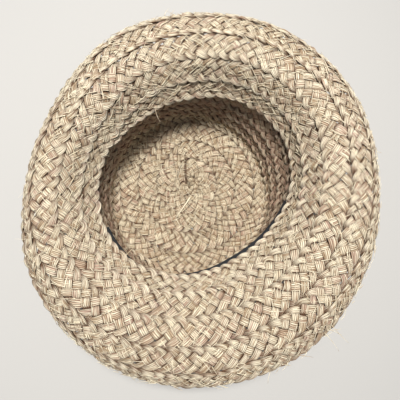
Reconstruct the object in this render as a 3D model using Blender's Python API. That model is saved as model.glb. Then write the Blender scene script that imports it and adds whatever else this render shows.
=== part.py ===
"""Raffia sun hat, lying upside down on the flat tip of its crown, with the head opening upward.

The crown is a thin straw shell: a flat tip, a rounded corner and a side wall whose top flares into a
collar. The brim is a second shell that starts at the lip of the head opening, climbs out of it, rolls
over and comes down again. Its lowest row laps over the collar from inside, and on the far side that
row hangs free below the seam as an overhanging lip. A narrow navy band runs round the near half of the
opening, just under the lip.

Metres, +Z up. The origin is on the axis of the crown, on the flat underside of the tip. The front of
the brim, its longer side, points to -Y. Azimuths are in degrees, 0 at +X and 90 at +Y.
"""

import math

import bmesh
import bpy
import numpy as np

# Crown
CROWN_DEPTH = 0.090        # from the underside of the tip up to the lip of the head opening
TIP_RADIUS = 0.0925        # mean inner radius of the tip, where the side wall stands on it
TIP_CORNER = 0.013         # inner radius of the rounded corner between tip and wall
CROWN_WALL = 0.0025        # thickness of the straw of the crown
WALL_TURN = 0.010          # height over which the wall turns into the flare of its collar

# Brim
HEAD_RADIUS = 0.0905       # mean radius of the lip, for a head of about 57 cm
ROW_WIDTH = 0.0244         # width of one row of sewn plait
BRIM_ROWS = 5              # rows of plait from the lip to the outer edge
BRIM_WALL = 0.003          # thickness of the straw of the brim
SEAM_LAP = 0.007           # width over which the collar of the crown lies against the brim

# Band inside the head opening
BAND_START = 206.0         # azimuth of its left end
BAND_END = 352.0           # azimuth of its right end
BAND_HEIGHT = 0.011
BAND_THICKNESS = 0.0011

SEAM_GAP = 0.0003          # clearance between pieces that are sewn together

# Fineness of the facets
AZIMUTH_STEPS = 72
STEPS_PER_ROW = 4
CHORDS_PER_ROW = 16
WALL_STEPS = 8
CORNER_STEPS = 4
COLLAR_STEPS = 2
BAND_STEPS = 36
SHARP_ANGLE = 50.0         # edges that turn more than this stay sharp, in degrees

# The hat by azimuth, in even steps all the way round. tip and lip are shares of TIP_RADIUS and
# HEAD_RADIUS. free is the share of the lowest row of plait that hangs free below the seam. roll_1 to
# roll_5 are the slopes of five equal widths of the brim, from lip to edge, in degrees from the
# horizontal and climbing outward where positive.
ROLL_COLUMNS = ("roll_1", "roll_2", "roll_3", "roll_4", "roll_5")
HAT_COLUMNS = ("azimuth", "tip", "lip", "free") + ROLL_COLUMNS
HAT_SECTIONS = (
    (0, 1.01, 1.06, 0.15, 79, 62, 16, -22, -56),
    (30, 1.01, 1.12, 0.30, 77, 62, 0, -22, -62),
    (60, 1.02, 1.07, 0.55, 69, 62, -12, -22, -64),
    (90, 1.02, 0.97, 0.65, 64, 60, -22, -22, -64),
    (120, 0.99, 0.91, 0.65, 63, 54, -24, -26, -66),
    (150, 0.95, 0.94, 0.35, 61, 54, -26, -58, -80),
    (180, 0.94, 1.01, 0.15, 56, 50, -24, -76, -90),
    (210, 0.97, 1.04, 0.12, 46, 40, -16, -56, -84),
    (240, 1.00, 1.02, 0.12, 48, 34, -6, -34, -68),
    (270, 1.01, 0.94, 0.12, 50, 30, 10, -18, -52),
    (300, 1.01, 0.89, 0.12, 46, 36, 16, -10, -40),
    (330, 1.01, 0.94, 0.12, 60, 52, 6, -6, -48),
)

# The band by share of its length. lean is how far its lower edge lies inward of its upper edge, as a
# share of its height.
BAND_COLUMNS = ("share", "lean")
BAND_SECTIONS = (
    (0.00, 0.22),
    (0.10, 0.20),
    (0.18, -0.02),
    (0.26, -0.06),
    (0.34, -0.02),
    (0.45, 0.10),
    (0.64, 0.16),
    (0.85, 0.14),
    (1.00, 0.08),
)

MATERIALS = {
    "crown_raffia": ((0.52, 0.40, 0.25), 0.72),
    "brim_raffia": ((0.60, 0.48, 0.33), 0.70),
    "navy_band": ((0.012, 0.017, 0.025), 0.80),
}


def hat_column(name, azimuth):
    """Read one column of HAT_SECTIONS at any azimuths, by a smooth closed curve through its rows."""
    values = np.array([row[HAT_COLUMNS.index(name)] for row in HAT_SECTIONS], dtype=float)
    count = len(values)
    place = np.asarray(azimuth, dtype=float) / 360.0 * count
    index = np.floor(place).astype(int)
    t = place - index
    before, here, after, beyond = (values[(index + step) % count] for step in (-1, 0, 1, 2))
    return 0.5 * (2 * here + (after - before) * t
                  + (2 * before - 5 * here + 4 * after - beyond) * t ** 2
                  + (3 * here - before - 3 * after + beyond) * t ** 3)


def band_lean(azimuth):
    """Lean of the band at any azimuth between its ends, in straight steps from row to row."""
    shares = [row[BAND_COLUMNS.index("share")] for row in BAND_SECTIONS]
    leans = [row[BAND_COLUMNS.index("lean")] for row in BAND_SECTIONS]
    return np.interp((azimuth - BAND_START) / (BAND_END - BAND_START), shares, leans)


def brim_slope(azimuth, rows):
    """Slope angle of the brim, in radians, at a distance from the lip counted in rows of plait."""
    centres = (np.arange(len(ROLL_COLUMNS)) + 0.5) * BRIM_ROWS / len(ROLL_COLUMNS)
    slopes = np.stack([hat_column(name, azimuth) for name in ROLL_COLUMNS], axis=1)
    return np.radians([np.interp(rows, centres, line) for line in slopes])


def brim_profile(azimuth, rows):
    """Radius, height and slope of the visible side of the brim, on a grid of azimuths by rows.

    The visible side is followed outward from the lip in short chords, each turned by the slope at its
    middle, so that every row keeps its width.
    """
    marks = np.arange(BRIM_ROWS * CHORDS_PER_ROW + 1) / CHORDS_PER_ROW
    middles = (marks[1:] + marks[:-1]) / 2
    chord = ROW_WIDTH / CHORDS_PER_ROW
    slope = brim_slope(azimuth, middles)
    at_lip = np.zeros((len(azimuth), 1))
    run = np.concatenate([at_lip, np.cumsum(chord * np.cos(slope), axis=1)], axis=1)
    rise = np.concatenate([at_lip, np.cumsum(chord * np.sin(slope), axis=1)], axis=1)
    places = np.broadcast_to(rows, (len(azimuth), np.shape(rows)[-1]))
    radius = np.array([np.interp(at, marks, line) for at, line in zip(places, run)])
    radius += HEAD_RADIUS * hat_column("lip", azimuth)[:, None]
    height = np.array([np.interp(at, marks, line) for at, line in zip(places, rise)]) + CROWN_DEPTH
    turn = np.array([np.interp(at, middles, line) for at, line in zip(places, slope)])
    return radius, height, turn


def beside(radius, height, slope, distance):
    """Move points off the visible side of the straw, square to its slope, by a distance."""
    return radius + distance * np.sin(slope), height - distance * np.cos(slope)


def ring_points(azimuth, radius, height):
    """World points of a grid of azimuths by profile places."""
    angle = np.radians(azimuth)[:, None]
    return np.stack([radius * np.cos(angle), radius * np.sin(angle), height], axis=-1)


def grid_faces(first, around, along, closed):
    """Quads of a grid of vertices whose numbers run along each profile, then round the hat."""
    turn = np.arange(around if closed else around - 1)
    here = first + turn[:, None] * along + np.arange(along - 1)[None, :]
    there = first + ((turn + 1) % around)[:, None] * along + np.arange(along - 1)[None, :]
    return np.stack([here, there, there + 1, here + 1], axis=-1).reshape(-1, 4).tolist()


def add_mesh(name, vertices, faces, material):
    """Make a named object from world points and faces, smooth apart from its sharp edges."""
    mesh = bpy.data.meshes.new(name)
    mesh.from_pydata(np.asarray(vertices).tolist(), [], faces)
    shell = bmesh.new()
    shell.from_mesh(mesh)
    bmesh.ops.recalc_face_normals(shell, faces=shell.faces)
    shell.to_mesh(mesh)
    shell.free()
    mesh.shade_smooth()
    mesh.set_sharp_from_angle(angle=math.radians(SHARP_ANGLE))
    mesh.materials.append(bpy.data.materials[material])
    piece = bpy.data.objects.new(name, mesh)
    bpy.context.scene.collection.objects.link(piece)
    return piece


def make_materials():
    """One plain Principled material for each entry of MATERIALS."""
    for name, (colour, roughness) in MATERIALS.items():
        material = bpy.data.materials.new(name)
        material.use_nodes = True
        surface = material.node_tree.nodes["Principled BSDF"]
        surface.inputs["Base Color"].default_value = (*colour, 1.0)
        surface.inputs["Roughness"].default_value = roughness
        surface.inputs["Metallic"].default_value = 0.0


def crown_inside(azimuth):
    """Inner side of the crown as radius, height and slope, from the edge of its flat floor upward.

    A quarter circle turns the floor up into the wall. The wall is a cubic curve that leaves the corner
    upright and turns near its top, to meet the underside of the brim along the brim's own slope, at the
    seam. The collar then keeps to the underside of the brim for the width of the lap.
    """
    radius_out = TIP_RADIUS * hat_column("tip", azimuth)[:, None]
    turn = np.linspace(0.0, math.pi / 2, CORNER_STEPS + 1)[None, :]
    corner_radius = radius_out - TIP_CORNER * (1 - np.sin(turn))
    corner_height = CROWN_WALL + TIP_CORNER * (1 - np.cos(turn)) + 0 * radius_out
    corner_slope = turn + 0 * radius_out

    seam_rows = hat_column("free", azimuth)[:, None]
    lap_rows = seam_rows + SEAM_LAP / ROW_WIDTH * np.linspace(0.0, 1.0, COLLAR_STEPS + 1)[None, :]
    collar = brim_profile(azimuth, lap_rows)
    collar_radius, collar_height = beside(*collar, BRIM_WALL + SEAM_GAP)
    collar_slope = collar[2]

    share = np.linspace(0.0, 1.0, WALL_STEPS + 1)[None, 1:-1]
    low_radius, low_height = corner_radius[:, -1:], corner_height[:, -1:]
    top_radius, top_height = collar_radius[:, :1], collar_height[:, :1]
    rise = top_height - low_height
    pull_radius = WALL_TURN * np.cos(collar_slope[:, :1])
    pull_height = WALL_TURN * np.sin(collar_slope[:, :1])
    mix = 3 * share ** 2 - 2 * share ** 3
    ease_in = share * (1 - share) ** 2
    ease_out = share ** 3 - share ** 2
    wall_radius = low_radius + (top_radius - low_radius) * mix + pull_radius * ease_out
    wall_height = low_height + rise * (mix + ease_in) + pull_height * ease_out
    mix_rate = 6 * share * (1 - share)
    in_rate = (1 - share) * (1 - 3 * share)
    out_rate = share * (3 * share - 2)
    wall_slope = np.arctan2(rise * (mix_rate + in_rate) + pull_height * out_rate,
                            (top_radius - low_radius) * mix_rate + pull_radius * out_rate)

    return (np.concatenate([corner_radius, wall_radius, collar_radius], axis=1),
            np.concatenate([corner_height, wall_height, collar_height], axis=1),
            np.concatenate([corner_slope, wall_slope, collar_slope], axis=1))


def make_crown():
    """Crown shell: flat floor, corner, wall and collar inside, and the same one wall further out."""
    azimuth = np.arange(AZIMUTH_STEPS) * 360.0 / AZIMUTH_STEPS
    radius, height, slope = crown_inside(azimuth)
    inner = ring_points(azimuth, radius, height)
    outer = ring_points(azimuth, *beside(radius, height, slope, CROWN_WALL))
    along = inner.shape[1]
    count = AZIMUTH_STEPS * along
    skin = np.concatenate([inner.reshape(-1, 3), outer.reshape(-1, 3)])
    faces = grid_faces(0, AZIMUTH_STEPS, along, True) + grid_faces(count, AZIMUTH_STEPS, along, True)
    foot = [place * along for place in range(AZIMUTH_STEPS)]
    faces.append(foot)
    faces.append([count + number for number in foot])
    rim = [place * along + along - 1 for place in range(AZIMUTH_STEPS)]
    for here, there in zip(rim, rim[1:] + rim[:1]):
        faces.append([here, here + count, there + count, there])
    return add_mesh("crown", skin, faces, "crown_raffia")


def make_brim():
    """Brim shell: the rolled visible side from lip to edge, and its hidden side one wall away."""
    azimuth = np.arange(AZIMUTH_STEPS) * 360.0 / AZIMUTH_STEPS
    rows = np.linspace(0.0, BRIM_ROWS, BRIM_ROWS * STEPS_PER_ROW + 1)[None, :]
    radius, height, slope = brim_profile(azimuth, rows)
    top = ring_points(azimuth, radius, height)
    under = ring_points(azimuth, *beside(radius, height, slope, BRIM_WALL))
    loop = np.concatenate([top, under[:, ::-1]], axis=1)
    along = loop.shape[1]
    faces = grid_faces(0, AZIMUTH_STEPS, along, True)
    for place in range(AZIMUTH_STEPS):
        here = place * along
        there = (place + 1) % AZIMUTH_STEPS * along
        faces.append([here, there, there + along - 1, here + along - 1])
    return add_mesh("brim", loop.reshape(-1, 3), faces, "brim_raffia")


def make_inner_band():
    """Navy band: a thin strip that hangs from the edge of the lip and leans a little inward."""
    azimuth = np.linspace(BAND_START, BAND_END, BAND_STEPS + 1)
    radius, height, slope = brim_profile(azimuth, np.zeros((1, 1)))
    radius, height = beside(radius, height, slope, BRIM_WALL / 2)
    drop = SEAM_GAP + BAND_THICKNESS
    top_radius = (radius - drop * np.cos(slope))[:, 0]
    top_height = (height - drop * np.sin(slope))[:, 0]
    lean = band_lean(azimuth)
    side = np.sqrt(1 - lean ** 2)
    half = BAND_THICKNESS / 2
    corners = []
    for down, across in ((0, -half), (0, half), (BAND_HEIGHT, half), (BAND_HEIGHT, -half)):
        corner_radius = top_radius - down * lean + across * side
        corner_height = top_height - down * side - across * lean
        corners.append(ring_points(azimuth, corner_radius[:, None], corner_height[:, None])[:, 0])
    loop = np.stack(corners, axis=1)
    along = loop.shape[1]
    faces = grid_faces(0, len(azimuth), along, False)
    for place in range(len(azimuth) - 1):
        here = place * along
        there = here + along
        faces.append([here, there - 1, there + along - 1, there])
    last = (len(azimuth) - 1) * along
    faces.append(list(range(along)))
    faces.append(list(range(last, last + along)))
    return add_mesh("inner_band", loop.reshape(-1, 3), faces, "navy_band")


def main():
    """Clear the scene and build the hat."""
    for old in list(bpy.data.objects):
        bpy.data.objects.remove(old, do_unlink=True)
    make_materials()
    make_crown()
    make_brim()
    make_inner_band()


main()
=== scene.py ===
"""Raffia sun hat, dressed for its picture.

Five strands of raffia are plaited into one flat braid for the crown and one for the brim. Each braid is
sewn edge to edge in a spiral, and every strand is a closed, ribbed ribbon that passes over and under its
neighbours. A navy band, loose fibres and the stage complete the picture.

Metres, +Z up. Azimuths are in degrees, 0 at +X and 90 at +Y.
"""

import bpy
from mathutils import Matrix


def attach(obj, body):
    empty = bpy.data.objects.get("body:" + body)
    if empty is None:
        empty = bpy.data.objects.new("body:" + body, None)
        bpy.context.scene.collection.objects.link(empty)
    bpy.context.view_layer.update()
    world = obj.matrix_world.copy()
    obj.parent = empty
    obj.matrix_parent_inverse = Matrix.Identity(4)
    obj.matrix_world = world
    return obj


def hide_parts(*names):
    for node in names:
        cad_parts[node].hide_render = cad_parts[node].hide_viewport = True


bl_info = {
    "name": "Raffia Sun Hat",
    "version": (1, 0, 0),
    "blender": (4, 5, 0),
    "location": "3D View > Sidebar > Sun Hat",
    "description": "Plaited crown and brim, inner band, loose fibres and stage of a raffia sun hat",
    "category": "Object",
}

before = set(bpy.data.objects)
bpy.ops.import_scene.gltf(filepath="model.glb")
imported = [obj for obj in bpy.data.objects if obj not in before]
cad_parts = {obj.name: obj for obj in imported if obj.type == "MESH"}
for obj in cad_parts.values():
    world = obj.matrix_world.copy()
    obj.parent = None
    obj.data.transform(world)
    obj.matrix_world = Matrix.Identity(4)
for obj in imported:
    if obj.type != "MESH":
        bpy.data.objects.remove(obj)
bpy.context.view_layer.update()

import math
from functools import partial

import bpy
import numpy as np
from bpy.props import FloatProperty, FloatVectorProperty, IntProperty, PointerProperty
from mathutils import Matrix

# The hat by azimuth, in even steps all the way round, as the solids have it. tip and lip are shares of
# the tip's and the lip's radius. free is the share of a row that hangs free below the seam. roll_1 to
# roll_5 are the slopes of five equal widths of the brim, from lip to edge, in degrees.
ROLL_COLUMNS = ("roll_1", "roll_2", "roll_3", "roll_4", "roll_5")
HAT_COLUMNS = ("azimuth", "tip", "lip", "free") + ROLL_COLUMNS
HAT_SECTIONS = (
    (0, 1.01, 1.06, 0.15, 79, 62, 16, -22, -56),
    (30, 1.01, 1.12, 0.30, 77, 62, 0, -22, -62),
    (60, 1.02, 1.07, 0.55, 69, 62, -12, -22, -64),
    (90, 1.02, 0.97, 0.65, 64, 60, -22, -22, -64),
    (120, 0.99, 0.91, 0.65, 63, 54, -24, -26, -66),
    (150, 0.95, 0.94, 0.35, 61, 54, -26, -58, -80),
    (180, 0.94, 1.01, 0.15, 56, 50, -24, -76, -90),
    (210, 0.97, 1.04, 0.12, 46, 40, -16, -56, -84),
    (240, 1.00, 1.02, 0.12, 48, 34, -6, -34, -68),
    (270, 1.01, 0.94, 0.12, 50, 30, 10, -18, -52),
    (300, 1.01, 0.89, 0.12, 46, 36, 16, -10, -40),
    (330, 1.01, 0.94, 0.12, 60, 52, 6, -6, -48),
)

# Loose ends that stand off the straw. side is 0 for the brim and 1 for the crown, row counts from the
# lip or from the middle of the tip, heading is a world direction in degrees, length and breadth are in
# millimetres, rise is how steeply it leaves the straw and bend how far its end turns, in degrees.
FIBRE_COLUMNS = ("side", "azimuth", "row", "heading", "length", "rise", "bend", "breadth")
LOOSE_FIBRES = (
    (0, 311, 4.55, 2, 13, 6, 8, 0.6),
    (0, 312, 4.60, -36, 12, 8, 20, 0.6),
    (0, 310, 4.60, -46, 20, 2, -14, 0.6),
    (0, 313, 4.55, -52, 21, 10, 12, 0.6),
    (0, 300, 4.60, -4, 14, 4, -10, 0.6),
    (0, 291, 4.70, -112, 10, 2, 20, 0.6),
    (0, 101, 4.40, 66, 8, 20, -20, 0.6),
    (0, 99, 4.45, 40, 7, 10, 30, 0.6),
    (0, 10, 4.50, -14, 5, 10, 0, 0.6),
    (0, 207, 4.60, 122, 9, 24, 16, 0.6),
    (0, 118, 0.10, -80, 13, -16, 30, 0.6),
    (0, 130, 0.90, 30, 26, 12, 40, 0.6),
    (0, 206, 2.40, 200, 9, 30, 30, 0.6),
    (0, 236, 1.30, 100, 10, 30, 40, 0.6),
    (0, 330, 2.90, 60, 11, 22, 40, 0.6),
    (0, 66, 3.10, 160, 12, 24, 50, 0.6),
    (1, 320, 2.10, 40, 12, 10, 30, 0.6),
    (1, 40, 2.60, 200, 10, 12, 30, 0.6),
    (1, 279, 0.68, 237, 32, 2, -4, 2.6),
    (0, 226, 0.00, 46, 12, -78, 0, 2.0),
    (1, 118, 1.35, 262, 20, 3, 10, 1.6),
)

# Places where the straw is sunk or darkened, as lines seen from above, in millimetres. reach is how far the
# mark spreads from its line, the value after it how dark it turns, and dip how deep it goes. Where a mark
# dips, that darkening is painted shade in the slit it makes; where it does not, it is a stain on the straw.
MARK_COLUMNS = ("start_x", "start_y", "end_x", "end_y", "reach", "shade_and_stain_share", "dip")
MARKS = (
    (-3, 44, -3, 30, 3.2, 1.0, 2.0),
    (-3, 30, -2, 15, 2.6, 1.0, 1.8),
    (-102, -5, -102, -15, 1.9, 1.0, 1.2),
    (10, -48, 22, -45, 11, 0.30, 0),
    (160, 10, 168, 20, 6, 0.50, 0),
    (-70, 42, -65, 34, 2.0, 0.9, 1.2),
)


class HatShape(bpy.types.PropertyGroup):
    """Sizes of the crown and brim, as the solids have them."""
    crown_depth: FloatProperty(
        name="Crown depth", description="Underside of the tip up to the lip", default=0.090,
        unit="LENGTH")
    tip_radius: FloatProperty(
        name="Tip radius", description="Mean inner radius where the wall stands", default=0.0925,
        unit="LENGTH")
    tip_corner: FloatProperty(
        name="Tip corner", description="Inner radius of the corner under the wall", default=0.013,
        unit="LENGTH")
    crown_wall: FloatProperty(
        name="Crown wall", description="Thickness of the straw of the crown", default=0.0025,
        unit="LENGTH")
    wall_turn: FloatProperty(
        name="Wall turn", description="Height over which the wall flares at its top", default=0.010,
        unit="LENGTH")
    head_radius: FloatProperty(
        name="Head radius", description="Mean radius of the lip", default=0.0905, unit="LENGTH")
    row_width: FloatProperty(
        name="Row width", description="Width of one row of plait of the brim", default=0.0244,
        unit="LENGTH")
    brim_rows: IntProperty(name="Brim rows", description="Rows of plait from lip to edge", default=5)
    brim_wall: FloatProperty(
        name="Brim wall", description="Thickness of the straw of the brim", default=0.003, unit="LENGTH")
    seam_lap: FloatProperty(
        name="Seam lap", description="Width of the collar of the crown under the brim", default=0.007,
        unit="LENGTH")
    seam_gap: FloatProperty(
        name="Seam gap", description="Clearance between the crown and the brim", default=0.0003,
        unit="LENGTH")
    tip_row: FloatProperty(
        name="Tip row", description="Width of one row of plait of the tip", default=0.0216,
        unit="LENGTH")
    crown_rows: IntProperty(
        name="Crown rows", description="Rows from the middle of the tip to the seam", default=8)
    even_rows: IntProperty(
        name="Even rows", description="Rows that run round the middle of the coil", default=3)
    coil: FloatVectorProperty(
        name="Coil", description="Middle of the coil of plait on the tip", size=2,
        default=(0.0015, 0.0140), unit="LENGTH")


class PlaitLook(bpy.types.PropertyGroup):
    """How the strands of the plait are laid."""
    strands: IntProperty(name="Strands", description="Strands in the flat plait", default=5)
    ribs: IntProperty(name="Ribs", description="Fibre bundles across a strand", default=5)
    thickness: FloatProperty(
        name="Thickness", description="Thickness of a strand", default=0.00170, unit="LENGTH")
    relief: FloatProperty(
        name="Relief", description="How far a strand rises and dips as it is woven", default=0.00095,
        unit="LENGTH")
    lap_lift: FloatProperty(
        name="Lap lift", description="How far a row's inner edge rides up", default=0.0006,
        unit="LENGTH")
    lap_share: FloatProperty(
        name="Lap", description="Share of a row that lies over its inner neighbour", default=0.22)
    fill: FloatProperty(
        name="Fill", description="Strand width as a share of the room it has", default=0.97)


class StrawColours(bpy.types.PropertyGroup):
    """Colours of the raffia, its painted shade, the ribbon and the stage."""
    pale: FloatVectorProperty(
        name="Pale straw", description="Bleached fibres", subtype="COLOR", default=(0.90, 0.815, 0.62))
    warm: FloatVectorProperty(
        name="Warm straw", description="Tan fibres", subtype="COLOR", default=(0.465, 0.34, 0.213))
    rose: FloatVectorProperty(
        name="Rose straw", description="Pinkish fibres", subtype="COLOR", default=(0.57, 0.388, 0.305))
    # Painted shade: the colour that grooves, strand edges and sunk straw are mixed towards, where shade
    # falls between and under the strands.
    shade: FloatVectorProperty(
        name="Shade", description="Dull brown between and under the strands", subtype="COLOR",
        default=(0.095, 0.040, 0.018))
    navy: FloatVectorProperty(
        name="Navy", description="Ribbon inside the head opening", subtype="COLOR",
        default=(0.011, 0.016, 0.024))
    floor: FloatVectorProperty(
        name="Floor", description="Plain pale floor", subtype="COLOR", default=(0.55, 0.545, 0.53))


class StageLook(bpy.types.PropertyGroup):
    """Camera and lights."""
    camera_place: FloatVectorProperty(
        name="Camera", description="Where the camera stands", size=3, default=(-0.0367, -0.0546, 0.470),
        unit="LENGTH")
    plumb: FloatVectorProperty(
        name="Plumb", description="Picture place straight below the camera, in pixels", size=2,
        default=(156.0, 242.0))
    lens: FloatProperty(name="Lens", description="Focal length in pixels of the picture", default=400.0)
    key: FloatProperty(
        name="Key light", description="Power of the large soft light", default=24.0, unit="POWER")
    sky: FloatProperty(name="Sky", description="Strength of the even light all round", default=0.23)


MM = 1000.0  # millimetres in a metre
DIAGONAL = math.sqrt(2.0)  # length of a strand from one crossing to the next, in crossings

# The sheets on which the straw is laid.
TURN_MARKS = 720  # marks round the hat
ROW_MARKS = 32  # marks across a row of plait
SPARE_ROWS = 0.5  # how far a sheet runs on past its ends, in rows
PROFILE_STEPS = {"floor": 24, "corner": 12, "wall": 48, "collar": 8}
COLLAR_REACH = 1.4  # how far the profile follows the collar, in seam laps
COLLAR_STOP = 0.4  # how far before its end the plait stops

# The spirals that the plaits follow.
BRIM_SLIDE = (110.0, 180.0)  # azimuths where the brim's seams slide in by one row
WALL_SLIDE = (200.0, 260.0)  # the same for the crown's wall
SLIT = (95.0, 135.0)  # where the innermost seams of the tip turn in sharply
TIP_WINDING = 0.5  # how far the tip's seams wind in evenly in a turn, in rows
WALL_TURNS = (2.0, 4.5)  # turns over which the wall's way becomes the tip's
LIP_LAP = 0.05  # how far the plait reaches over the lip, in rows
LIP_DROOP = 244.0  # azimuth where it reaches further and hides the band
DROOP_HALF = 15.0  # degrees to either side of it where that ends
DROOP_MORE = 1.5  # how much further, as a share
LAP_ROWS = 0.5  # rows from the lip over which the lap grows to its full share
CROWN_DEEP = ((3.9, 4.9), (0.0003, 0.0021))  # rows, and how deep the strands' middle lies there
BRIM_DEEP = ((0.0, 5.0), (0.0015, 0.0015))
CROWN_LEAST = 0.1  # the least width of plait that is laid, in rows
BRIM_LEAST = 0.3

# The weave, in crossings where it says nothing else.
CROSSINGS_PER_ROW = 4.4  # crossings along a plait in the width of a row
STEPS_PER_CROSSING = 3  # rings of a strand from one to the next
LEVEL_HALF = 0.36  # how far round a crossing a strand lies level
ARCH = 0.9  # how much it curves down away from the crossing
ROUNDNESS = 0.85  # how much it thins towards its edges
VALLEY = 0.42  # height of the valleys between its ribs, as a share
UNDERSIDE = (0.55, 0.0, -0.55)  # places across its plain lower face
OUTER_FOLD = 0.30  # how roundly it turns back at a row's outer edge
INNER_BEND = 1.00  # and at its inner edge, where it runs along the seam
EDGE_ROOM = 0.45  # from that edge to the middle of the strand

# A strand that turns back along the seam at a row's inner edge makes the rope, and one that turns back
# at its outer edge is tucked under. reach is how far from the edge that begins, in crossings, narrower
# and thicker are shares, and higher is in metres.
ROPE = {"reach": 1.9, "narrower": 0.40, "thicker": 0.95, "higher": 0.0015}
TUCK = {"reach": 1.2, "narrower": 0.15, "thicker": 0.10, "higher": 0.0001}
ROPE_HIGHLIGHT = 0.46  # painted highlight: how much paler the rope is painted, for the light its raised folds catch
INNER_SIDE = 0.30  # share of a row, at its inner edge, that rides up
OUTER_SIDE = 0.74  # share of a row beyond which it sinks
OUTER_SINK = 0.2  # how far that is, in lap lifts
SEAM_SHADE = 0.95  # painted shade: how dark a row's outer edge is painted, tucked under the next row
SEAM_SHADE_FROM = 0.80  # share of a row beyond which that painted shade lies
LEAST_HEIGHT = 0.0001  # of the straw above the floor

# How the strands stray from an even plait: crossings between the random values, and their spread. That
# is in crossings along and across the plait, in metres for the tilt, and else a share.
STRAY = {"along": (1.7, 0.10), "across": (1.3, 0.07), "breadth": (2.3, 0.12), "height": (1.1, 0.22),
         "thickness": (1.9, 0.14), "tilt": (1.0, 0.00026), "rib": (2.1, 1.0), "tone": (7.0, 0.17),
         "hue": (5.0, 0.30)}
RIB_UNEVEN = 0.34  # how much the ribs' values change their height
TONE_SPREAD = 0.10  # spread of the tone from one crossing to the next
HUE_SPREAD = 0.14  # and of the hue

# Painted shade by place: the crown's wall is painted darker and redder, for its shade and the reddish light
# bounced inside it.
WALL_SHADE_FOOT = 0.010  # height where the painted shade on the crown's wall begins
WALL_SHADE_RISE = 0.020  # height over which it does
WALL_SHADE_TONE = -0.34  # what it adds to the tone
WALL_SHADE_HUE = 0.80  # and to the hue
WALL_SHADE_DEPTH = 0.30  # least painted shade there
CROWN_LIGHTER_SHARE = (1.06, 1.04, 1.0)  # straw colours as shares of the settings; the crown's are lighter, painted light on the tip inside the crown
BRIM_SHARE = (1.0, 1.0, 1.0)
STRAND_SHIFT = 3.7  # keeps the streaks of strands apart
SEED_SHIFT = 0.01  # and those of seeds
CROWN_SEED = 11
BRIM_SEED = 31
FIBRE_SEED = 7

# Loose fibres. Pairs are for the brim and the crown, or the ends of a range.
FIBRE_SIDES = 4
FIBRE_RINGS = 7
FIBRE_SAG = 1.2  # share of its rise that a fibre loses
FIBRE_END = 0.35  # breadth of its end, as a share
FLAT_FIBRE = 0.00035  # the most that half its thickness comes to
FIBRE_LIFT = (0.0014, 0.0026)  # height over the sheets
FIBRE_TINT_AND_HIGHLIGHT = (0.50, -0.4, 0.0)  # tone, hue and painted shade; the paler tone is partly the fibres' own colour and partly a painted highlight
FIBRE_STREAK = 0.01  # length of strand whose streaks it shows
FIBRE_SHIFT = 0.37  # keeps the streaks of fibres apart
LEANING_UP = (0.03, 0.05, 1.0)  # nearly upright, so that no fibre runs along it
SHORT_COUNT = 110  # short fibres that stand off the brim
SHORT_LIFT = 0.0010
# Their azimuth, row, heading, length, rise, bend and breadth.
SHORT_RANGES = ((0, 360), (0.1, 4.3), (0, 360), (0.004, 0.010), (5, 35), (-50, 50), (0.00022, 0.00040))
SPLIT_COUNT = (2300, 700)  # fibres that split off the strands
SPLIT_RINGS = 6
SPLIT_ROWS = ((0.05, 4.9), (0.4, 3.9))  # rows between which they lie
SPLIT_SPREAD = 14.0  # of their direction about 45 degrees to the rows
SPLIT_LENGTH = (0.004, 0.013)
SPLIT_BREADTH = (0.00040, 0.00095)
SPLIT_LIFT = (0.0010, 0.0020)  # height over the sheets
SPLIT_RISE = 0.0014  # how much higher their ends lie at most
SPLIT_CURL = 0.1  # most curve, as a share of their length

# Raffia fibre. Each noise has its scales along a strand, across it and from strand to strand, its
# detail, and what it does to the tone.
STREAK = ((70.0, 3.4, 5.0), 2.0, 4.6)
HAIR = ((160.0, 13.0, 5.0), 2.0, 3.6)
BUNDLE = ((42.0, 2.8, 7.0), 1.0, 4.0)
RIB_WOBBLE = 0.6  # how far the streaks push the grooves aside
RIB_POWER = 0.8  # how flat the ribs are on top
MIDDLE_TONE = 0.56
MIDDLE_HUE = 0.25
GROOVE_SHADE = 0.85  # painted shade in the grooves between the ribs
RIM_SHADE = 0.60  # painted shade along the edges of a strand, where it meets its neighbours
RIM_POWER = 6.0  # how narrow that is
SUNK_SHADE = 0.97  # painted shade on straw under other strands, in seams and slits and on the crown's wall, also darkening the marks' stains
SUNK_POWER = 1.2
STRAW_ROUGH = (0.32, 0.25)  # roughness, and what the hairs add to it
STRAW_HEIGHT = (0.65, 0.5)  # bump of the ribs and of the hairs

# Ribbon.
RIBBON_WEAVE = (900.0, 900.0, 2600.0)
RIBBON_CLOUD = 60.0
RIBBON_FADED = (2.6, 0.004)  # what the navy is taken times, and what is added

# Stage.
PICTURE_SIZE = 400
SENSOR_WIDTH = 36.0
FLOOR_HALF = 3.0
KEY_TURN = (-8.1, -3.9, 0.0)  # in degrees


def smooth(x):
    """0 below 0, 1 above 1, and 3x^2 - 2x^3 between."""
    x = np.clip(x, 0.0, 1.0)
    return x * x * (3.0 - 2.0 * x)


def hat_column(name, azimuth):
    """One column of HAT_SECTIONS at any azimuths, by a smooth closed curve through its rows."""
    values = np.array([row[HAT_COLUMNS.index(name)] for row in HAT_SECTIONS], dtype=float)
    place = np.asarray(azimuth, dtype=float) / 360.0 * len(values)
    index = np.floor(place).astype(int)
    t = place - index
    before, here, after, beyond = (values[(index + step) % len(values)] for step in (-1, 0, 1, 2))
    return 0.5 * (2 * here + (after - before) * t
                  + (2 * before - 5 * here + 4 * after - beyond) * t ** 2
                  + (3 * here - before - 3 * after + beyond) * t ** 3)


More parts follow.
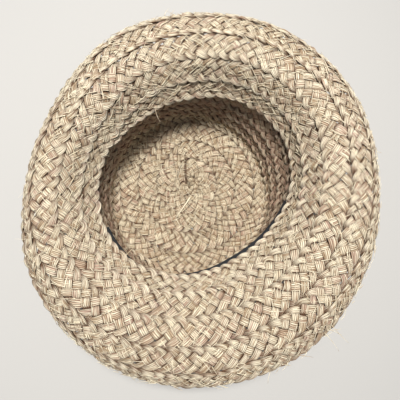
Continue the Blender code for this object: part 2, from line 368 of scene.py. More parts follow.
class Sheet:
    """One side of the straw as a grid of points and normals, by azimuth and by row of plait.

    place() mixes the four nearest grid points, P = sum of weight x point, and adds lift x normal.
    """

    def __init__(self, first_row, points, normals):
        self.first_row = first_row
        self.points = np.concatenate([points, points[:1]])
        self.normals = np.concatenate([normals, normals[:1]])

    def place(self, azimuth, row, lift):
        across = np.mod(azimuth, 360.0) / 360.0 * (len(self.points) - 1)
        along = np.clip((row - self.first_row) * ROW_MARKS, 0, self.points.shape[1] - 1.001)
        i = np.minimum(across.astype(int), len(self.points) - 2)
        j = along.astype(int)
        s = (across - i)[..., None]
        t = (along - j)[..., None]
        out = 0.0
        for grid, weight in ((self.points, 1.0), (self.normals, np.asarray(lift)[..., None])):
            near = grid[i, j] * (1 - t) + grid[i, j + 1] * t
            far = grid[i + 1, j] * (1 - t) + grid[i + 1, j + 1] * t
            out = out + (near * (1 - s) + far * s) * weight
        return out


def ring_vectors(azimuth, radial, height):
    """(radial cos a, radial sin a, height) for grids with the azimuth as first axis."""
    angle = np.radians(azimuth)[:, None]
    return np.stack([radial * np.cos(angle), radial * np.sin(angle), height], axis=-1)


def roll_slope(shape, azimuth, rows):
    """Slope of the brim in radians, straight between the middles of the five widths of the roll."""
    table = np.stack([hat_column(name, azimuth) for name in ROLL_COLUMNS], axis=1)
    last = len(ROLL_COLUMNS) - 1
    place = np.clip(rows * len(ROLL_COLUMNS) / shape.brim_rows - 0.5, 0, last)
    index = np.minimum(place.astype(int), last - 1)
    t = (place - index)[None, :]
    return np.radians(table[:, index] * (1 - t) + table[:, index + 1] * t)


def brim_sheet(shape):
    """Visible side of the brim: radius and height add up short chords, each turned by its slope."""
    azimuth = np.arange(TURN_MARKS) * 360.0 / TURN_MARKS
    marks = np.arange(-SPARE_ROWS * ROW_MARKS, (shape.brim_rows + SPARE_ROWS) * ROW_MARKS + 1) / ROW_MARKS
    chord = shape.row_width / ROW_MARKS
    slope = roll_slope(shape, azimuth, (marks[1:] + marks[:-1]) / 2)
    start = np.zeros((TURN_MARKS, 1))
    run = np.concatenate([start, np.cumsum(chord * np.cos(slope), axis=1)], axis=1)
    rise = np.concatenate([start, np.cumsum(chord * np.sin(slope), axis=1)], axis=1)
    lip = np.searchsorted(marks, 0.0)
    radius = run - run[:, lip:lip + 1] + shape.head_radius * hat_column("lip", azimuth)[:, None]
    height = rise - rise[:, lip:lip + 1] + shape.crown_depth
    slope = roll_slope(shape, azimuth, marks)
    return Sheet(marks[0], ring_vectors(azimuth, radius, height),
                 ring_vectors(azimuth, -np.sin(slope), np.cos(slope)))


def crown_profile(shape, azimuth, brim):
    """Radius and height of the inner side of the crown along fine steps, from its axis to its collar.

    A straight floor, a quarter circle, a cubic wall that leaves the circle upright and meets the
    underside of the brim along the brim's slope, and the collar that keeps to that underside.
    """
    foot = shape.tip_radius * hat_column("tip", azimuth)[:, None]
    floor_radius = (foot - shape.tip_corner) * np.linspace(0.0, 1.0, PROFILE_STEPS["floor"])[None, :-1]
    turn = np.linspace(0.0, math.pi / 2, PROFILE_STEPS["corner"])[None, :]
    corner_radius = foot - shape.tip_corner * (1 - np.sin(turn))
    corner_height = shape.crown_wall + shape.tip_corner * (1 - np.cos(turn)) + 0 * foot
    laps = np.linspace(0.0, COLLAR_REACH, PROFILE_STEPS["collar"])[None, :]
    rows = hat_column("free", azimuth)[:, None] + shape.seam_lap / shape.row_width * laps
    under = -(shape.brim_wall + shape.seam_gap)
    collar = brim.place(np.broadcast_to(azimuth[:, None], rows.shape), rows, np.full(rows.shape, under))
    collar_radius = np.hypot(collar[..., 0], collar[..., 1])
    collar_height = collar[..., 2]
    lean_radius = collar_radius[:, 1:2] - collar_radius[:, :1]
    lean_height = collar_height[:, 1:2] - collar_height[:, :1]
    lean = np.hypot(lean_radius, lean_height)
    share = np.linspace(0.0, 1.0, PROFILE_STEPS["wall"])[None, 1:-1]
    mix = 3 * share ** 2 - 2 * share ** 3
    ease_in = share * (1 - share) ** 2
    ease_out = share ** 3 - share ** 2
    low_radius, low_height = corner_radius[:, -1:], corner_height[:, -1:]
    rise = collar_height[:, :1] - low_height
    wall_radius = (low_radius + (collar_radius[:, :1] - low_radius) * mix
                   + shape.wall_turn * lean_radius / lean * ease_out)
    wall_height = low_height + rise * (mix + ease_in) + shape.wall_turn * lean_height / lean * ease_out
    return (np.concatenate([floor_radius, corner_radius, wall_radius, collar_radius], axis=1),
            np.concatenate([shape.crown_wall + 0 * floor_radius, corner_height, wall_height, collar_height],
                           axis=1))


def crown_sheet(shape, brim):
    """Inner side of the crown by row of plait, counted from the middle of the coil on the tip.

    The first rows are circles about the coil: P = coil + row x width x (cos a, sin a). From the last
    of them each line runs on straight outward from the hat's axis, along the floor, up the wall and
    into the collar, in even steps of length.
    """
    azimuth = np.arange(TURN_MARKS) * 360.0 / TURN_MARKS
    turn = np.radians(azimuth)
    marks = np.arange(0, (shape.crown_rows + SPARE_ROWS) * ROW_MARKS + 1) / ROW_MARKS
    even = shape.even_rows * shape.tip_row
    edge = np.stack([shape.coil[0] + even * np.cos(turn), shape.coil[1] + even * np.sin(turn)], axis=1)
    axis_azimuth = np.degrees(np.arctan2(edge[:, 1], edge[:, 0]))
    start = np.hypot(edge[:, 0], edge[:, 1])
    line_radius, line_height = crown_profile(shape, axis_azimuth, brim)
    step = np.hypot(np.diff(line_radius, axis=1), np.diff(line_height, axis=1))
    length = np.concatenate([np.zeros((TURN_MARKS, 1)), np.cumsum(step, axis=1)], axis=1)
    seam = length[:, -1] - COLLAR_STOP * shape.seam_lap
    share = (marks[None, :] - shape.even_rows) / (shape.crown_rows - shape.even_rows)
    at = start[:, None] + (seam - start)[:, None] * share
    radius = np.array([np.interp(a, s, r) for a, s, r in zip(at, length, line_radius)])
    height = np.array([np.interp(a, s, h) for a, s, h in zip(at, length, line_height)])
    slope = np.arctan2(np.gradient(height, axis=1), np.gradient(radius, axis=1))
    points = ring_vectors(axis_azimuth, radius, height)
    normals = ring_vectors(axis_azimuth, -np.sin(slope), np.cos(slope))
    reach = marks * shape.tip_row
    flat = np.stack([shape.coil[0] + reach * np.cos(turn)[:, None],
                     shape.coil[1] + reach * np.sin(turn)[:, None],
                     np.full((TURN_MARKS, len(marks)), shape.crown_wall)], axis=-1)
    on_floor = marks < shape.even_rows
    points[:, on_floor] = flat[:, on_floor]
    normals[:, on_floor] = (0.0, 0.0, 1.0)
    return Sheet(marks[0], points, normals)


class Course:
    """The spiral that a plait follows over a sheet: its seams in rows, and its length in metres."""

    def __init__(self, sheet, top, start, slide, deep, lap, least, wall_shade):
        """top is the outermost row, start the azimuth where a turn begins, and slide(place) how far a
        seam has moved in after the whole turns of a place counted in turns. Both seams stay between 0
        and top: seam = top - whole turns - slide, and the plait's inner seam is its outer one a turn
        later. deep gives how far under the sheet the straw lies by row, lap is the share of a row over
        its neighbour, least the width below which no plait is laid, and the last is 1 where the wall is,
        whose straw gets a painted reddish shade."""
        place = np.arange(-1.0, top + 1.0, 1.0 / TURN_MARKS)
        outer = np.clip(self.seam(place, top, slide), 0.0, top)
        inner = np.clip(self.seam(place + 1.0, top, slide), 0.0, top)
        kept = outer - inner > least
        self.outer, self.inner = outer[kept], inner[kept]
        self.azimuth = start + 360.0 * place[kept]
        middle = sheet.place(self.azimuth, (self.outer + self.inner) / 2, np.zeros(kept.sum()))
        step = np.linalg.norm(np.diff(middle, axis=0), axis=1)
        self.length = np.concatenate([[0.0], np.cumsum(step)])
        self.sheet = sheet
        self.deep = deep
        self.lap = lap
        self.wall_shade = wall_shade

    @staticmethod
    def seam(place, top, slide):
        return top - np.floor(place) - slide(place)

    def lay(self, along, across, lift):
        """Points at a length along the plait and a share of its width, 0 at its inner seam."""
        azimuth = np.interp(along, self.length, self.azimuth)
        inner = np.interp(along, self.length, self.inner)
        outer = np.interp(along, self.length, self.outer)
        hidden = smooth(1.0 - np.abs(np.mod(azimuth, 360.0) - LIP_DROOP) / DROOP_HALF)
        lip = LIP_LAP * (1.0 + DROOP_MORE * hidden)
        lap = lip + (self.lap - lip) * smooth(inner / LAP_ROWS)
        row = inner + (outer - inner) * (across * (1.0 + lap) - lap)
        return self.sheet.place(azimuth, row, lift - np.interp(row, *self.deep))


def brim_slide(place):
    """The brim's seams run level and slide in by a row over the last stretch of each turn."""
    part = place - np.floor(place)
    level = 1.0 - (BRIM_SLIDE[1] - BRIM_SLIDE[0]) / 360.0
    return smooth((part - level) / (1.0 - level))


def crown_slide(place):
    """On the wall the seams slide over a short stretch, on the tip they wind in evenly to the slit."""
    part = place - np.floor(place)
    first = (WALL_SLIDE[0] - SLIT[1]) / 360.0
    last = (WALL_SLIDE[1] - SLIT[1]) / 360.0
    wall = smooth((part - first) / (last - first))
    turn_in = 1.0 - (SLIT[1] - SLIT[0]) / 360.0
    tip = TIP_WINDING * part + (1.0 - TIP_WINDING) * smooth((part - turn_in) / (1.0 - turn_in))
    mix = np.clip((place - WALL_TURNS[0]) / (WALL_TURNS[1] - WALL_TURNS[0]), 0.0, 1.0)
    return wall * (1.0 - mix) + tip * mix


def wander(rng, times, what):
    """A smooth random walk about zero: random values every few crossings, eased between them."""
    spacing, amount = STRAY[what]
    knots = rng.normal(0.0, amount, int(times[-1] / spacing) + 3)
    place = times / spacing
    index = place.astype(int)
    t = smooth(place - index)
    return knots[index] * (1 - t) + knots[index + 1] * t


def weave_levels(strands):
    """Height of a strand at each crossing of one whole zigzag, 1 over, -1 under and 0 at its folds."""
    levels = []
    for crossing in range(2 * strands):
        column = min(crossing, 2 * strands - crossing)
        upward = crossing < strands
        if column in (0, strands):
            levels.append(0.0)
        else:
            levels.append(1.0 if (column % 2 == 1) == upward else -1.0)
    return np.array(levels)


def weave_height(phase, levels):
    """Level over the crossings, flat on each one and straight between them, curved a little on top."""
    count = len(levels)
    flat = np.where(levels == 0.0, 0.0, LEVEL_HALF)
    places = np.concatenate([np.arange(count) - flat, np.arange(count) + flat])
    order = np.argsort(places, kind="stable")
    height = np.interp(phase, places[order], np.tile(levels, 2)[order], period=count)
    nearest = np.round(phase)
    return height * (1.0 - ARCH * (phase - nearest) ** 2)


def closeness(points, mark):
    """1 on a mark's line and 0 beyond its reach, by the distance seen from above."""
    start = np.array([mark["start_x"], mark["start_y"]]) / MM
    line = np.array([mark["end_x"], mark["end_y"]]) / MM - start
    from_start = points[..., :2] - start
    share = np.clip(from_start @ line / (line @ line), 0.0, 1.0)
    distance = np.linalg.norm(from_start - share[..., None] * line, axis=-1)
    return smooth(1.0 - distance * MM / mark["reach"])


def lay_marks(points, shade_and_stain):
    """The given painted shade with the marks added: painted shade in the slits where a mark dips, a stain
    where it does not. Points near a mark sink, but none goes below the floor.
    """
    for values in MARKS:
        mark = dict(zip(MARK_COLUMNS, values))
        near = closeness(points, mark)
        # Where a mark dips, this darkening is painted shade in its slit; where it does not, it is a stain.
        shade_and_stain = np.maximum(shade_and_stain, mark["shade_and_stain_share"] * near)
        points[..., 2] -= mark["dip"] / MM * near
    points[..., 2] = np.maximum(points[..., 2], LEAST_HEIGHT)
    return shade_and_stain


def ribbon_section(ribs):
    """Across and up of a strand's outline: a lens whose upper face has a rib for each fibre bundle.

    up = sqrt(1 - roundness across^2), lowered to a share in the valleys between the ribs.
    """
    across = np.linspace(-1.0, 1.0, 2 * ribs + 1)
    up = np.sqrt(1.0 - ROUNDNESS * across ** 2)
    up[::2] *= VALLEY
    up[[0, -1]] = 0.0
    under = np.array(UNDERSIDE)
    return np.concatenate([across, under]), np.concatenate([up, -np.sqrt(1.0 - ROUNDNESS * under ** 2)])


def tube_faces(rings, sides):
    """Quads between neighbouring rings of vertices and one face over each end."""
    ring = np.arange(rings - 1)[:, None] * sides
    here = ring + np.arange(sides)[None, :]
    there = ring + (np.arange(sides)[None, :] + 1) % sides
    quads = np.stack([here, there, there + sides, here + sides], axis=-1).reshape(-1, 4)
    last = (rings - 1) * sides
    return quads.tolist() + [list(range(sides))[::-1], list(range(last, last + sides))]


def add_piece(name, vertices, faces, material, attributes):
    """A smooth mesh object at the origin, with its point attributes, riding with the hat."""
    mesh = bpy.data.meshes.new(name)
    mesh.from_pydata(np.asarray(vertices).tolist(), [], faces)
    mesh.validate()
    mesh.shade_smooth()
    for key, values in attributes.items():
        layer = mesh.attributes.new(key, "FLOAT_VECTOR", "POINT")
        layer.data.foreach_set("vector", np.ascontiguousarray(values, dtype=np.float32).ravel())
    mesh.materials.append(material)
    piece = bpy.data.objects.new(name, mesh)
    bpy.context.scene.collection.objects.link(piece)
    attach(piece, "root")
    return piece


def plait_strand(course, look, number, crossing, seed):
    """Vertices, faces and attributes of one strand of a plait.

    Along the plait the strand moves one crossing for each crossing it moves across, and turns back at
    the edges: zigzag = t mod 2n, or 2n less that where it is smaller. Both turns are rounded into a
    hyperbola, sqrt(d^2 + e^2), where d is the way to the edge. The ribs are carried square to that
    path, over and under, and the rope along the seam is narrow, thick and proud.
    """
    rng = np.random.default_rng(seed)
    strands = look.strands
    count = int(course.length[-1] / crossing)
    times = np.arange(count * STEPS_PER_CROSSING + 1) / STEPS_PER_CROSSING
    phase = np.mod(times + 2.0 * number, 2.0 * strands)
    zigzag = np.minimum(phase, 2.0 * strands - phase)
    rope = smooth(1.0 - zigzag / ROPE["reach"])
    tuck = smooth(1.0 - (strands - zigzag) / TUCK["reach"])

    across = zigzag - (np.hypot(strands - zigzag, OUTER_FOLD) - (strands - zigzag))
    across = np.hypot(across, INNER_BEND) - INNER_BEND + EDGE_ROOM
    along = (times + 0.5) * crossing + wander(rng, times, "along") * crossing
    across = across + wander(rng, times, "across")
    narrow = 1.0 - ROPE["narrower"] * rope - TUCK["narrower"] * tuck
    breadth = 0.5 * DIAGONAL * crossing * look.fill * narrow * (1.0 + wander(rng, times, "breadth"))
    level = weave_height(phase, weave_levels(strands))
    height = look.relief * (level + wander(rng, times, "height"))
    height = height + ROPE["higher"] * rope + TUCK["higher"] * tuck
    thick = 1.0 + ROPE["thicker"] * rope + TUCK["thicker"] * tuck + wander(rng, times, "thickness")
    thickness = look.thickness / 2.0 * thick

    step_along = np.gradient(along)
    step_across = np.gradient(across * crossing)
    size = np.hypot(step_along, step_across)
    side_along = -step_across / size
    side_across = step_along / size
    section_across, section_up = ribbon_section(look.ribs)
    tilt = wander(rng, times, "tilt")
    ring_along = along[:, None] + side_along[:, None] * breadth[:, None] * section_across
    ring_across = across[:, None] + side_across[:, None] * breadth[:, None] * section_across / crossing
    uneven = np.stack([wander(rng, times, "rib") for _ in section_up], axis=1)
    ribbing = 1.0 + RIB_UNEVEN * uneven
    lift = height[:, None] + thickness[:, None] * section_up * ribbing + tilt[:, None] * section_across
    share = ring_across / strands
    rides = smooth(1.0 - share / INNER_SIDE)
    sinks = smooth((share - OUTER_SIDE) / (1.0 - OUTER_SIDE))
    lift = lift + look.lap_lift * rides - OUTER_SINK * look.lap_lift * sinks
    points = course.lay(ring_along, share, lift)

    shape = ring_along.shape
    facing = np.sign(section_up)[None, :]
    # Painted shade: a strand is painted darker where it passes under its neighbours, as if shaded by them.
    shade_and_stain = np.clip((1.0 - level[:, None] * facing) / 2.0 + 0 * ring_along, 0.0, 1.0)
    # Painted shade: a row's outer edge, tucked under the next row, is painted darker.
    edge = smooth((share - SEAM_SHADE_FROM) / (1.0 - SEAM_SHADE_FROM))
    shade_and_stain = lay_marks(points, np.maximum(shade_and_stain, SEAM_SHADE * edge * (facing > 0)))
    nearest = np.round(times).astype(int)
    tone = wander(rng, times, "tone") + rng.normal(0.0, TONE_SPREAD, count + 2)[nearest]
    # Painted highlight: the rope is painted paler, for the light its raised folds catch.
    tone = tone + ROPE_HIGHLIGHT * rope
    hue = wander(rng, times, "hue") + rng.normal(0.0, HUE_SPREAD, count + 2)[nearest]
    # Painted shade: above its foot the crown's wall is painted darker and redder, for its shade and the
    # reddish light bounced inside the crown.
    wall = course.wall_shade * smooth((points[..., 2] - WALL_SHADE_FOOT) / WALL_SHADE_RISE)
    tint_shade_and_highlight = np.stack([tone[:, None] + WALL_SHADE_TONE * wall, hue[:, None] + WALL_SHADE_HUE * wall,
                     np.maximum(shade_and_stain, WALL_SHADE_DEPTH * wall)], axis=-1)
    strand = np.stack([np.broadcast_to(times[:, None] * crossing * DIAGONAL, shape),
                       np.broadcast_to(section_across, shape),
                       np.full(shape, STRAND_SHIFT * number + SEED_SHIFT * seed)], axis=-1)
    faces = tube_faces(len(times), len(section_up))
    return points.reshape(-1, 3), faces, {"strand": strand.reshape(-1, 3), "tint_shade_and_highlight": tint_shade_and_highlight.reshape(-1, 3)}


def make_plait(name, course, look, crossing, material, node, seed):
    """The strands of one plait, each a piece of its own that stands for the solid of the straw."""
    for number in range(look.strands):
        vertices, faces, attributes = plait_strand(course, look, number, crossing, seed + number)
        piece = add_piece(f"{name}_strand_{number + 1}", vertices, faces, material, attributes)
        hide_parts(node)


def fibre_tube(path, breadth):
    """Points of a tapering tube along a path of points, flat where it is broad."""
    forward = np.gradient(path, axis=0)
    forward /= np.linalg.norm(forward, axis=1, keepdims=True)
    side = np.cross(forward, LEANING_UP)
    side /= np.linalg.norm(side, axis=1, keepdims=True)
    up = np.cross(side, forward)
    turn = np.arange(FIBRE_SIDES) * 2.0 * math.pi / FIBRE_SIDES
    taper = np.linspace(1.0, FIBRE_END, len(path))[:, None, None]
    half = breadth / 2.0
    ring = (half * np.cos(turn)[None, :, None] * side[:, None]
            + min(half, FLAT_FIBRE) * np.sin(turn)[None, :, None] * up[:, None])
    return (path[:, None] + ring * taper).reshape(-1, 3)


def fibre_path(sheet, azimuth, row, heading, length, rise, bend, lift):
    """A curve that leaves the straw: each step turns by an even part of the bend and sinks a little."""
    start = sheet.place(np.array([azimuth]), np.array([row]), np.array([lift]))[0]
    t = np.linspace(0.0, 1.0, FIBRE_RINGS)
    turn = np.radians(heading + bend * t)
    climb = np.radians(rise * (1.0 - FIBRE_SAG * t))
    step = np.stack([np.cos(turn) * np.cos(climb), np.sin(turn) * np.cos(climb), np.sin(climb)], axis=1)
    steps = np.concatenate([np.zeros((1, 3)), np.cumsum(step[:-1], axis=0)])
    return start + steps * length / (FIBRE_RINGS - 1)


def split_fibres(sheet, rng, side, row_width):
    """Paths of thin fibres that split off the strands and lie along them, with ends a little proud.

    Each runs at about 45 degrees to the rows: azimuth + length cos / radius, row + length sin / width.
    side is 0 for the brim and 1 for the crown, where the radius is that about the coil, row x width.
    """
    paths = []
    rows = SPLIT_ROWS[side]
    t = np.linspace(0.0, 1.0, SPLIT_RINGS)
    for _ in range(SPLIT_COUNT[side]):
        azimuth = rng.uniform(0.0, 360.0)
        row = rng.uniform(*rows)
        slant = math.radians(rng.choice((45.0, 135.0)) + rng.normal(0.0, SPLIT_SPREAD))
        length = rng.uniform(*SPLIT_LENGTH)
        start = sheet.place(np.array([azimuth]), np.array([row]), np.zeros(1))[0]
        radius = (math.hypot(start[0], start[1]), row * row_width)[side]
        azimuths = azimuth + np.degrees(t * length * math.cos(slant) / radius)
        curve = t + rng.uniform(-SPLIT_CURL, SPLIT_CURL) * t * t
        run = np.clip(row + curve * length * math.sin(slant) / row_width, *rows)
        lift = SPLIT_LIFT[side] + rng.uniform(0.0, SPLIT_RISE) * t ** 2
        paths.append((sheet.place(azimuths, run, lift), rng.uniform(*SPLIT_BREADTH)))
    return paths


def node_of(tree, kind, **inputs):
    """A node of a tree with values or links for its inputs, by name or number."""
    made = tree.nodes.new(kind)
    for key, value in inputs.items():
        socket = made.inputs[int(key[1:])] if key[0] == "i" and key[1:].isdigit() else made.inputs[key]
        if isinstance(value, bpy.types.NodeSocket):
            tree.links.new(value, socket)
        else:
            socket.default_value = value
    return made


def math_of(tree, operation, first, second=0.0, clamp=False):
    """Output of a Math node."""
    made = node_of(tree, "ShaderNodeMath", i0=first, i1=second)
    made.operation = operation
    made.use_clamp = clamp
    return made.outputs[0]


def mix_of(tree, factor, first, second):
    """Colour output of a Mix node."""
    made = tree.nodes.new("ShaderNodeMix")
    made.data_type = "RGBA"
    for index, value in ((0, factor), (6, first), (7, second)):
        if isinstance(value, bpy.types.NodeSocket):
            tree.links.new(value, made.inputs[index])
        else:
            made.inputs[index].default_value = value
    return made.outputs[2]


def noise_of(tree, vector, scale, detail):
    """Value output of a Noise node."""
    made = node_of(tree, "ShaderNodeTexNoise", Vector=vector, Scale=scale, Detail=detail)
    return made.outputs["Fac"]


def stretch_of(tree, vector, scale):
    """A vector times three scales."""
    made = node_of(tree, "ShaderNodeVectorMath", i0=vector, i1=scale)
    made.operation = "MULTIPLY"
    return made.outputs[0]


def new_group(name, inputs, outputs):
    """An empty shader group with named sockets, and its input and output nodes."""
    group = bpy.data.node_groups.new(name, "ShaderNodeTree")
    for side, sockets in (("INPUT", inputs), ("OUTPUT", outputs)):
        for key, kind in sockets:
            group.interface.new_socket(name=key, in_out=side, socket_type="NodeSocket" + kind)
    return group, group.nodes.new("NodeGroupInput").outputs, group.nodes.new("NodeGroupOutput").inputs


def centred(tree, noise, amount):
    """A noise taken about its middle, times an amount."""
    return math_of(tree, "MULTIPLY", math_of(tree, "SUBTRACT", noise, 0.5), amount)


def fibre_group():
    """Raffia fibre: bundles, streaks and hairs along a strand, as colour, roughness and height, with
    painted shade in the grooves, along the edges and on sunk straw.

    rib = |sin(pi ribs (across + 1) / 2)|, and the tone is its middle value plus the three noises.
    """
    group, given, out = new_group(
        "Raffia fibre",
        (("Strand", "Vector"), ("Tone", "Float"), ("Hue", "Float"), ("Depth", "Float"),
         ("Pale", "Color"), ("Warm", "Color"), ("Rose", "Color"), ("Shade", "Color")),
        (("Color", "Color"), ("Roughness", "Float"), ("Height", "Float")))
    streak, hair, bundle = (noise_of(group, stretch_of(group, given["Strand"], scales), 1.0, detail)
                            for scales, detail, _ in (STREAK, HAIR, BUNDLE))
    across = node_of(group, "ShaderNodeSeparateXYZ", Vector=given["Strand"]).outputs[1]
    do = partial(math_of, group)
    half_ribs = bpy.context.scene.sun_hat_plait.ribs / 2.0
    place = do("MULTIPLY", do("ADD", across, 1.0), half_ribs)
    place = do("ADD", place, centred(group, streak, RIB_WOBBLE))
    angle = do("MULTIPLY", place, math.pi)
    rib = do("ABSOLUTE", do("SINE", angle))
    rib = do("POWER", rib, RIB_POWER)
    tone = given["Tone"]
    for noise, (_, _, amount) in ((streak, STREAK), (hair, HAIR), (bundle, BUNDLE)):
        tone = do("ADD", tone, centred(group, noise, amount))
    tone = do("ADD", tone, MIDDLE_TONE, clamp=True)
    hue = do("ADD", given["Hue"], MIDDLE_HUE, clamp=True)
    colour = mix_of(group, tone, mix_of(group, hue, given["Warm"], given["Rose"]), given["Pale"])
    # Painted shade: the colour is mixed towards Shade in the grooves between the ribs, along the strand's
    # edges and on sunk straw, whose share also carries the stains of the marks.
    groove_shade = do("MULTIPLY", do("SUBTRACT", 1.0, rib), GROOVE_SHADE)
    rim_shade = do("POWER", do("ABSOLUTE", across), RIM_POWER)
    rim_shade = do("MULTIPLY", rim_shade, RIM_SHADE)
    sunk_shade_and_stain = do("POWER", given["Depth"], SUNK_POWER)
    sunk_shade_and_stain = do("MULTIPLY", sunk_shade_and_stain, SUNK_SHADE, clamp=True)
    for shade_and_stain_share in (groove_shade, rim_shade, sunk_shade_and_stain):
        colour = mix_of(group, shade_and_stain_share, colour, given["Shade"])
    rough = do("ADD", do("MULTIPLY", hair, STRAW_ROUGH[1]), STRAW_ROUGH[0])
    height = do("ADD", do("MULTIPLY", rib, STRAW_HEIGHT[0]), do("MULTIPLY", hair, STRAW_HEIGHT[1]))
    for key, value in (("Color", colour), ("Roughness", rough), ("Height", height)):
        group.links.new(value, out[key])
    return group


def new_material(name):
    """A material, its node tree and the inputs of its surface."""
    material = bpy.data.materials.new(name)
    material.use_nodes = True
    tree = material.node_tree
    return material, tree, tree.nodes["Principled BSDF"].inputs


def raffia_material(name, group, colours):
    """Raffia straw: the fibre group on the strand's own attributes, with a bump of its height."""
    material, tree, surface = new_material(name)
    strand = tree.nodes.new("ShaderNodeAttribute")
    strand.attribute_name = "strand"
    tint_shade_and_highlight = tree.nodes.new("ShaderNodeAttribute")
    tint_shade_and_highlight.attribute_name = "tint_shade_and_highlight"
    parts = node_of(tree, "ShaderNodeSeparateXYZ", Vector=tint_shade_and_highlight.outputs["Vector"])
    fibre = tree.nodes.new("ShaderNodeGroup")
    fibre.node_tree = group
    tree.links.new(strand.outputs["Vector"], fibre.inputs["Strand"])
    for index, key in enumerate(("Tone", "Hue", "Depth")):
        tree.links.new(parts.outputs[index], fibre.inputs[key])
    for key, value in colours.items():
        fibre.inputs[key].default_value = (*value, 1.0)
    height = fibre.outputs["Height"]
    bump = node_of(tree, "ShaderNodeBump", Height=height, Strength=1.0, Distance=0.0008)
    tree.links.new(fibre.outputs["Color"], surface["Base Color"])
    tree.links.new(fibre.outputs["Roughness"], surface["Roughness"])
    tree.links.new(bump.outputs["Normal"], surface["Normal"])
    surface["Specular IOR Level"].default_value = 0.5
    return material


def straw_material(name, share):
    """The raffia material of a piece, its colours those of the settings times a share."""
    made = bpy.data.materials.get(name)
    if made is None:
        straw = bpy.context.scene.sun_hat_colours
        group = bpy.data.node_groups.get("Raffia fibre") or fibre_group()
        colours = {"Pale": straw.pale, "Warm": straw.warm, "Rose": straw.rose, "Shade": straw.shade}
        colours = {key: [channel * part for channel, part in zip(value, share)]
                   for key, value in colours.items()}
        made = raffia_material(name, group, colours)
    return made


def ribbon_material():
    """Navy ribbon: fine ribs up the band, slightly uneven, with a soft matt face."""
    material, tree, surface = new_material("Navy ribbon")
    place = tree.nodes.new("ShaderNodeTexCoord").outputs["Object"]
    weave = noise_of(tree, stretch_of(tree, place, RIBBON_WEAVE), 1.0, 2.0)
    cloud = noise_of(tree, place, RIBBON_CLOUD, 2.0)
    navy = bpy.context.scene.sun_hat_colours.navy
    faded = [channel * RIBBON_FADED[0] + RIBBON_FADED[1] for channel in navy]
    tone = math_of(tree, "MULTIPLY", math_of(tree, "ADD", weave, cloud), 0.5)
    colour = mix_of(tree, tone, (*navy, 1.0), (*faded, 1.0))
    bump = node_of(tree, "ShaderNodeBump", Height=weave, Strength=0.5, Distance=0.0002)
    tree.links.new(colour, surface["Base Color"])
    tree.links.new(bump.outputs["Normal"], surface["Normal"])
    surface["Roughness"].default_value = 0.75
    return material


def hat_sheets():
    """The sheets of the brim and the crown for the present sizes."""
    shape = bpy.context.scene.sun_hat_shape
    brim = brim_sheet(shape)
    return shape, brim, crown_sheet(shape, brim)


def add_floor(scene):
    """A plain pale floor under the hat."""
    half = FLOOR_HALF
    corners = [(-half, -half, 0), (half, -half, 0), (half, half, 0), (-half, half, 0)]
    mesh = bpy.data.meshes.new("floor")
    mesh.from_pydata(corners, [], [(0, 1, 2, 3)])
    material, _, surface = new_material("Pale floor")
    surface["Base Color"].default_value = (*scene.sun_hat_colours.floor, 1.0)
    surface["Roughness"].default_value = 0.85
    mesh.materials.append(material)
    floor = bpy.data.objects.new("floor", mesh)
    scene.collection.objects.link(floor)


def add_lights(scene, stage):
    """Even light all round and one large soft light from above."""
    world = bpy.data.worlds.new("Even light")
    world.use_nodes = True
    world.node_tree.nodes["Background"].inputs["Color"].default_value = (0.95, 0.97, 1.0, 1.0)
    world.node_tree.nodes["Background"].inputs["Strength"].default_value = stage.sky
    scene.world = world
    scene.view_settings.view_transform = "Standard"
    key = bpy.data.lights.new("Key light", "AREA")
    key.energy = stage.key
    key.size = 0.26
    key.color = (1.0, 0.97, 0.93)
    lamp = bpy.data.objects.new("Key light", key)
    lamp.location = (-0.09, 0.19, 1.33)
    lamp.rotation_euler = [math.radians(angle) for angle in KEY_TURN]
    scene.collection.objects.link(lamp)


def add_camera(scene, stage):
    """A level camera, turned so that what lies straight below it shows at the plumb place.

    down is the plumb line as the picture sees it, with X to the right, Y down and Z ahead, and right
    and ahead are square to it. These three are the rows of the turn from the picture to the world.
    """
    camera_data = bpy.data.cameras.new("Camera")
    camera_data.sensor_fit = "HORIZONTAL"
    camera_data.sensor_width = SENSOR_WIDTH
    camera_data.lens = SENSOR_WIDTH * stage.lens / PICTURE_SIZE
    camera_data.clip_start = 0.01
    camera = bpy.data.objects.new("Camera", camera_data)
    scene.collection.objects.link(camera)
    middle = PICTURE_SIZE / 2
    down = np.array([(place - middle) / stage.lens for place in stage.plumb] + [1.0])
    down /= np.linalg.norm(down)
    right = np.array([1.0, 0.0, 0.0]) - down * down[0]
    right /= np.linalg.norm(right)
    ahead = np.cross(-down, right)
    rows = [(row[0], -row[1], -row[2], place)
            for row, place in zip((right, ahead, -down), stage.camera_place)]
    camera.matrix_world = Matrix(rows + [(0.0, 0.0, 0.0, 1.0)])
    scene.camera = camera


class SUNHAT_OT_crown(bpy.types.Operator):
    """Plait the crown: a spiral from the middle of the tip up the wall to the seam"""
    bl_idname = "sun_hat.crown"
    bl_label = "Crown plait"

    def execute(self, context):
        look = context.scene.sun_hat_plait
        shape, _, crown = hat_sheets()
        course = Course(crown, shape.crown_rows, SLIT[1], crown_slide, CROWN_DEEP, look.lap_share,
                        CROWN_LEAST, 1.0)
        # The crown's straw is painted lighter than the brim's, as painted light on the tip inside the
        # crown.
        material = straw_material("Crown raffia painted lighter", CROWN_LIGHTER_SHARE)
        make_plait("crown", course, look, shape.tip_row / CROSSINGS_PER_ROW, material,
                   "crown", CROWN_SEED)
        return {"FINISHED"}


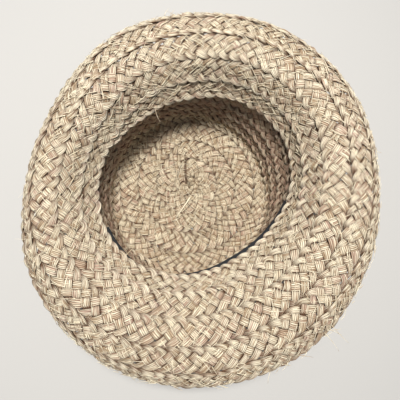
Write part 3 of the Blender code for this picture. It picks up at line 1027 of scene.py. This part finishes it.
class SUNHAT_OT_brim(bpy.types.Operator):
    """Plait the brim: rows from the lip over the roll to the edge, joined into one spiral"""
    bl_idname = "sun_hat.brim"
    bl_label = "Brim plait"

    def execute(self, context):
        look = context.scene.sun_hat_plait
        shape, brim, _ = hat_sheets()
        course = Course(brim, shape.brim_rows, BRIM_SLIDE[1], brim_slide, BRIM_DEEP, look.lap_share,
                        BRIM_LEAST, 0.0)
        material = straw_material("Brim raffia", BRIM_SHARE)
        make_plait("brim", course, look, shape.row_width / CROSSINGS_PER_ROW, material,
                   "brim", BRIM_SEED)
        return {"FINISHED"}


class SUNHAT_OT_band(bpy.types.Operator):
    """Give the band inside the head opening its ribbon finish"""
    bl_idname = "sun_hat.band"
    bl_label = "Inner band"

    def execute(self, context):
        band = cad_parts["inner_band"]
        material = ribbon_material()
        for slot in band.material_slots:
            slot.material = material
        return {"FINISHED"}


class SUNHAT_OT_fibres(bpy.types.Operator):
    """Add the loose ends of raffia and the short fibres that stand off the straw"""
    bl_idname = "sun_hat.fibres"
    bl_label = "Loose fibres"

    def execute(self, context):
        shape, brim, crown = hat_sheets()
        rng = np.random.default_rng(FIBRE_SEED)
        paths = []
        for values in LOOSE_FIBRES:
            row = dict(zip(FIBRE_COLUMNS, values))
            path = fibre_path((brim, crown)[row["side"]], row["azimuth"], row["row"], row["heading"],
                              row["length"] / MM, row["rise"], row["bend"], FIBRE_LIFT[row["side"]])
            paths.append((path, row["breadth"] / MM))
        for _ in range(SHORT_COUNT):
            *values, breadth = [rng.uniform(*limits) for limits in SHORT_RANGES]
            paths.append((fibre_path(brim, *values, SHORT_LIFT), breadth))
        paths += split_fibres(brim, rng, 0, shape.row_width)
        paths += split_fibres(crown, rng, 1, shape.tip_row)
        vertices, faces, strand = [], [], []
        first = 0
        for number, (path, breadth) in enumerate(paths):
            points = fibre_tube(path, breadth)
            sides = tube_faces(len(path), FIBRE_SIDES)
            faces += [[corner + first for corner in face] for face in sides]
            vertices.append(points)
            along = np.repeat(np.linspace(0, FIBRE_STREAK, len(path)), FIBRE_SIDES)
            shift = np.full(len(points), FIBRE_SHIFT * number)
            strand.append(np.stack([along, np.zeros(len(points)), shift], axis=1))
            first += len(points)
        # The loose fibres are paler, partly their own colour and partly a painted highlight.
        attributes = {"strand": np.concatenate(strand), "tint_shade_and_highlight": np.tile(FIBRE_TINT_AND_HIGHLIGHT, (first, 1))}
        piece = add_piece("loose_fibres", np.concatenate(vertices), faces,
                          straw_material("Brim raffia", BRIM_SHARE), attributes)
        return {"FINISHED"}


class SUNHAT_OT_stage(bpy.types.Operator):
    """Set the floor, the lights and the camera"""
    bl_idname = "sun_hat.stage"
    bl_label = "Stage"

    def execute(self, context):
        scene = context.scene
        add_floor(scene)
        add_lights(scene, scene.sun_hat_stage)
        add_camera(scene, scene.sun_hat_stage)
        return {"FINISHED"}


class SUNHAT_PT_panel(bpy.types.Panel):
    """Lists the steps that build the hat."""
    bl_idname = "SUNHAT_PT_panel"
    bl_label = "Sun Hat"
    bl_space_type = "VIEW_3D"
    bl_region_type = "UI"
    bl_category = "Sun Hat"

    def draw(self, context):
        for step in STEPS:
            self.layout.operator(step.bl_idname)
        for name in SETTINGS:
            settings = getattr(context.scene, name)
            box = self.layout.box()
            for key in settings.__annotations__:
                box.prop(settings, key)


STEPS = (SUNHAT_OT_stage, SUNHAT_OT_crown, SUNHAT_OT_brim, SUNHAT_OT_band, SUNHAT_OT_fibres)
SETTINGS = {"sun_hat_shape": HatShape, "sun_hat_plait": PlaitLook, "sun_hat_colours": StrawColours,
            "sun_hat_stage": StageLook}


def register():
    """Register the settings, the steps and the panel."""
    for name, settings in SETTINGS.items():
        bpy.utils.register_class(settings)
        setattr(bpy.types.Scene, name, PointerProperty(type=settings))
    for step in STEPS + (SUNHAT_PT_panel,):
        bpy.utils.register_class(step)


def unregister():
    """Take them away again."""
    for step in (SUNHAT_PT_panel,) + STEPS[::-1]:
        bpy.utils.unregister_class(step)
    for name, settings in SETTINGS.items():
        delattr(bpy.types.Scene, name)
        bpy.utils.unregister_class(settings)


def main():
    register()
    bpy.ops.sun_hat.stage()
    bpy.ops.sun_hat.crown()
    bpy.ops.sun_hat.brim()
    bpy.ops.sun_hat.band()
    bpy.ops.sun_hat.fibres()


if __name__ == "__main__":
    main()
